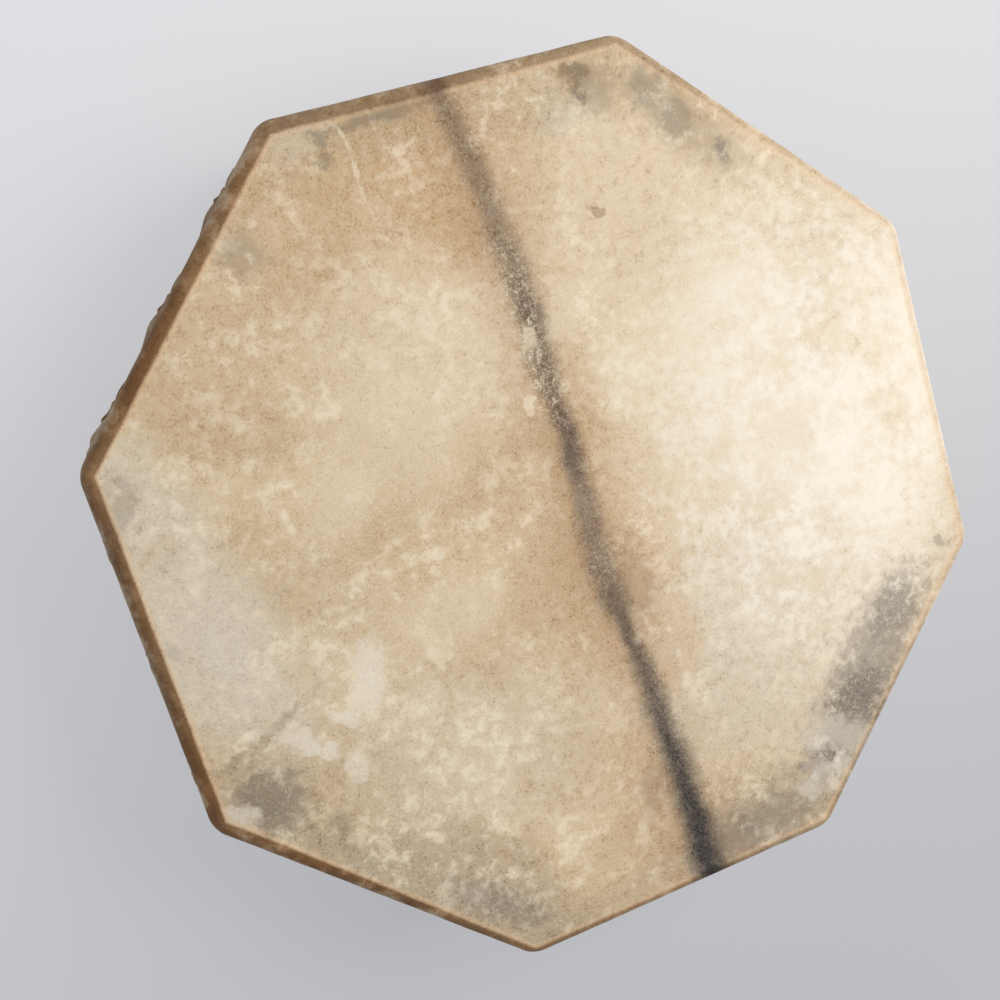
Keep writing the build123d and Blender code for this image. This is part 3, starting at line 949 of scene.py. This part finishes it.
# Lace knot: the lace's two ends, bound together by three turns of one round the other, with short cut tails.
# It sits in the gap between the hides on one side, and dries as hard as the rest.
knot_out = 0.0029
knot_radius = 0.0017
knot_turns = 3
knot_length = 0.0072
knot_width = 0.0021
knot_thickness = 0.0019
knot_run = Vector((stitch_pitch - 2 * stitch_lean, back_holes - front_holes)).normalized()
knot_route = []
steps_per_turn = 8
for step in range(-steps_per_turn * knot_turns // 2, steps_per_turn * knot_turns // 2 + 1):
    turn = 2 * pi * step / steps_per_turn
    run = knot_length * step / (steps_per_turn * knot_turns)
    across = knot_radius * cos(turn)
    spot_along = knot_along + run * knot_run.x - across * knot_run.y
    spot_height = lace_middle + run * knot_run.y + across * knot_run.x
    knot_route.append(on_side(0, spot_along, knot_out + knot_radius * sin(turn), spot_height))
first_tail = [
    on_side(0, knot_along - 0.016, 0.0052, lace_middle - 0.0065),
    on_side(0, knot_along - 0.011, 0.0056, lace_middle - 0.0045),
    on_side(0, knot_along - 0.006, 0.0050, lace_middle - 0.001),
]
second_tail = [
    on_side(0, knot_along + 0.006, 0.0050, lace_middle + 0.001),
    on_side(0, knot_along + 0.0105, 0.0058, lace_middle + 0.005),
    on_side(0, knot_along + 0.014, 0.0054, lace_middle + 0.010),
]
knot_section = lace_profile("knot_section", knot_width, knot_thickness)
lace_knot = lace_mesh("knot", first_tail + knot_route + second_tail, knot_section)
dress(lace_knot, lace_finish)
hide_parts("lace_knot")
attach(lace_knot, "drum")
bpy.data.objects.remove(lace_section)
bpy.data.objects.remove(knot_section)

# Floor: a wide pale studio floor that fades into the backdrop all round, and only catches the drum's shadow.
# It shows to the camera from above alone, so that the drum can also be looked at from below.
floor_radius = 2.0
floor_drop = 0.0006
bpy.ops.object.select_all(action="DESELECT")
bpy.ops.mesh.primitive_circle_add(vertices=96, radius=floor_radius, fill_type="NGON")
floor = bpy.context.object
floor.name = "floor"
bpy.ops.object.mode_set(mode="EDIT")
bpy.ops.transform.translate(value=(0, 0, -floor_drop))
bpy.ops.object.mode_set(mode="OBJECT")
if floor.data.polygons[0].normal.z < 0:
    floor.data.flip_normals()
floor_finish, tree, shader, place = new_finish("pale_floor")
# Painted light: the floor's tone runs from dim towards -Y, the bottom of the picture, to bright towards +Y,
# its top.
floor_painted_dim = painted(190, 191, 196)
floor_painted_bright = painted(228, 229, 232)
floor_light_slope = along_way(tree, place, (-0.12, 0.99, 0))
floor_tone = blended(tree, eased(tree, floor_light_slope, -0.42, 0.42), floor_painted_dim, floor_painted_bright)
# The floor also glows at 0.65 of its tone, though it is no lamp, and this pales the drum's shadow on it.
floor_glow = 0.65
tree.links.new(floor_tone, shader.inputs["Emission Color"])
shader.inputs["Emission Strength"].default_value = floor_glow
tree.links.new(blended(tree, floor_glow, floor_tone, painted(0, 0, 0)), shader.inputs["Base Color"])
shader.inputs["Roughness"].default_value = 0.9
shader.inputs["Specular IOR Level"].default_value = 0.1
light_path = node(tree, "LightPath", {}).outputs
seen = sums(tree, "MAXIMUM", light_path["Is Camera Ray"], light_path["Is Glossy Ray"])
seen = sums(tree, "MAXIMUM", seen, light_path["Is Transmission Ray"])
from_above = sums(tree, "SUBTRACT", 1.0, node(tree, "NewGeometry", {}).outputs["Backfacing"])
floor_reach = node(tree, "VectorMath", {0: place}, operation="LENGTH").outputs["Value"]
near_drum = eased(tree, floor_reach, 1.5, 0.5)
shown = sums(tree, "MULTIPLY", sums(tree, "MULTIPLY", seen, from_above), near_drum)
clear = node(tree, "BsdfTransparent", {})
floor_shader = node(tree, "MixShader", {0: shown, 1: clear.outputs[0], 2: shader.outputs[0]})
tree.links.new(floor_shader.outputs[0], tree.nodes["Material Output"].inputs["Surface"])
floor.data.materials.append(floor_finish)

# Light: even light all round in front of a pale backdrop that only the camera sees.
# A large soft lamp stands at the right, and a weak one at the left.
world = bpy.data.worlds.new("studio")
world.use_nodes = True
bpy.context.scene.world = world
tree = world.node_tree
tree.nodes["Background"].inputs["Color"].default_value = painted(240, 243, 248)
tree.nodes["Background"].inputs["Strength"].default_value = 0.5
backdrop = node(tree, "Background", {"Color": painted(212, 213, 217)})
camera_ray = node(tree, "LightPath", {}).outputs["Is Camera Ray"]
world_shader = node(
    tree, "MixShader", {0: camera_ray, 1: tree.nodes["Background"].outputs[0], 2: backdrop.outputs[0]}
)
tree.links.new(world_shader.outputs[0], tree.nodes["World Output"].inputs["Surface"])


def soft_lamp(name, place, size, power, tone):
    """Square soft lamp that looks at the drum."""
    lamp = bpy.data.lights.new(name, "AREA")
    lamp.size = size
    lamp.energy = power
    lamp.color = tone[:3]
    holder = bpy.data.objects.new(name, lamp)
    holder.location = place
    holder.rotation_euler = (-Vector(place)).to_track_quat("-Z", "Y").to_euler()
    bpy.context.scene.collection.objects.link(holder)


soft_lamp("key_lamp", place=(1.5, 0.2, 1.2), size=1.5, power=34, tone=painted(255, 250, 242))
soft_lamp("fill_lamp", place=(-1.1, -0.2, 1.4), size=1.2, power=2, tone=painted(244, 248, 255))

# Camera: held where the photograph was taken from, above the drum and a little to its left.
# Its shift only sets the drum off the picture's middle, as the photograph does.
camera_place = Vector((-0.15676, 0.10043, 0.62916))
camera_back = Vector((-0.23815, 0.19612, 0.95122))
camera_up = Vector((0.32726, 0.93833, -0.11153))
camera_data = bpy.data.cameras.new("camera")
camera_data.sensor_width = 36.0
camera_data.lens = 41.4
camera_data.shift_x = -0.048
camera_data.shift_y = 0.047
camera = bpy.data.objects.new("camera", camera_data)
camera_right = camera_up.cross(camera_back).normalized()
camera_up = camera_back.cross(camera_right).normalized()
camera_axes = zip(camera_right, camera_up, camera_back.normalized(), camera_place)
camera.matrix_world = Matrix([*camera_axes, (0, 0, 0, 1)])
bpy.context.scene.collection.objects.link(camera)
bpy.context.scene.camera = camera
bpy.context.scene.view_settings.view_transform = "Standard"
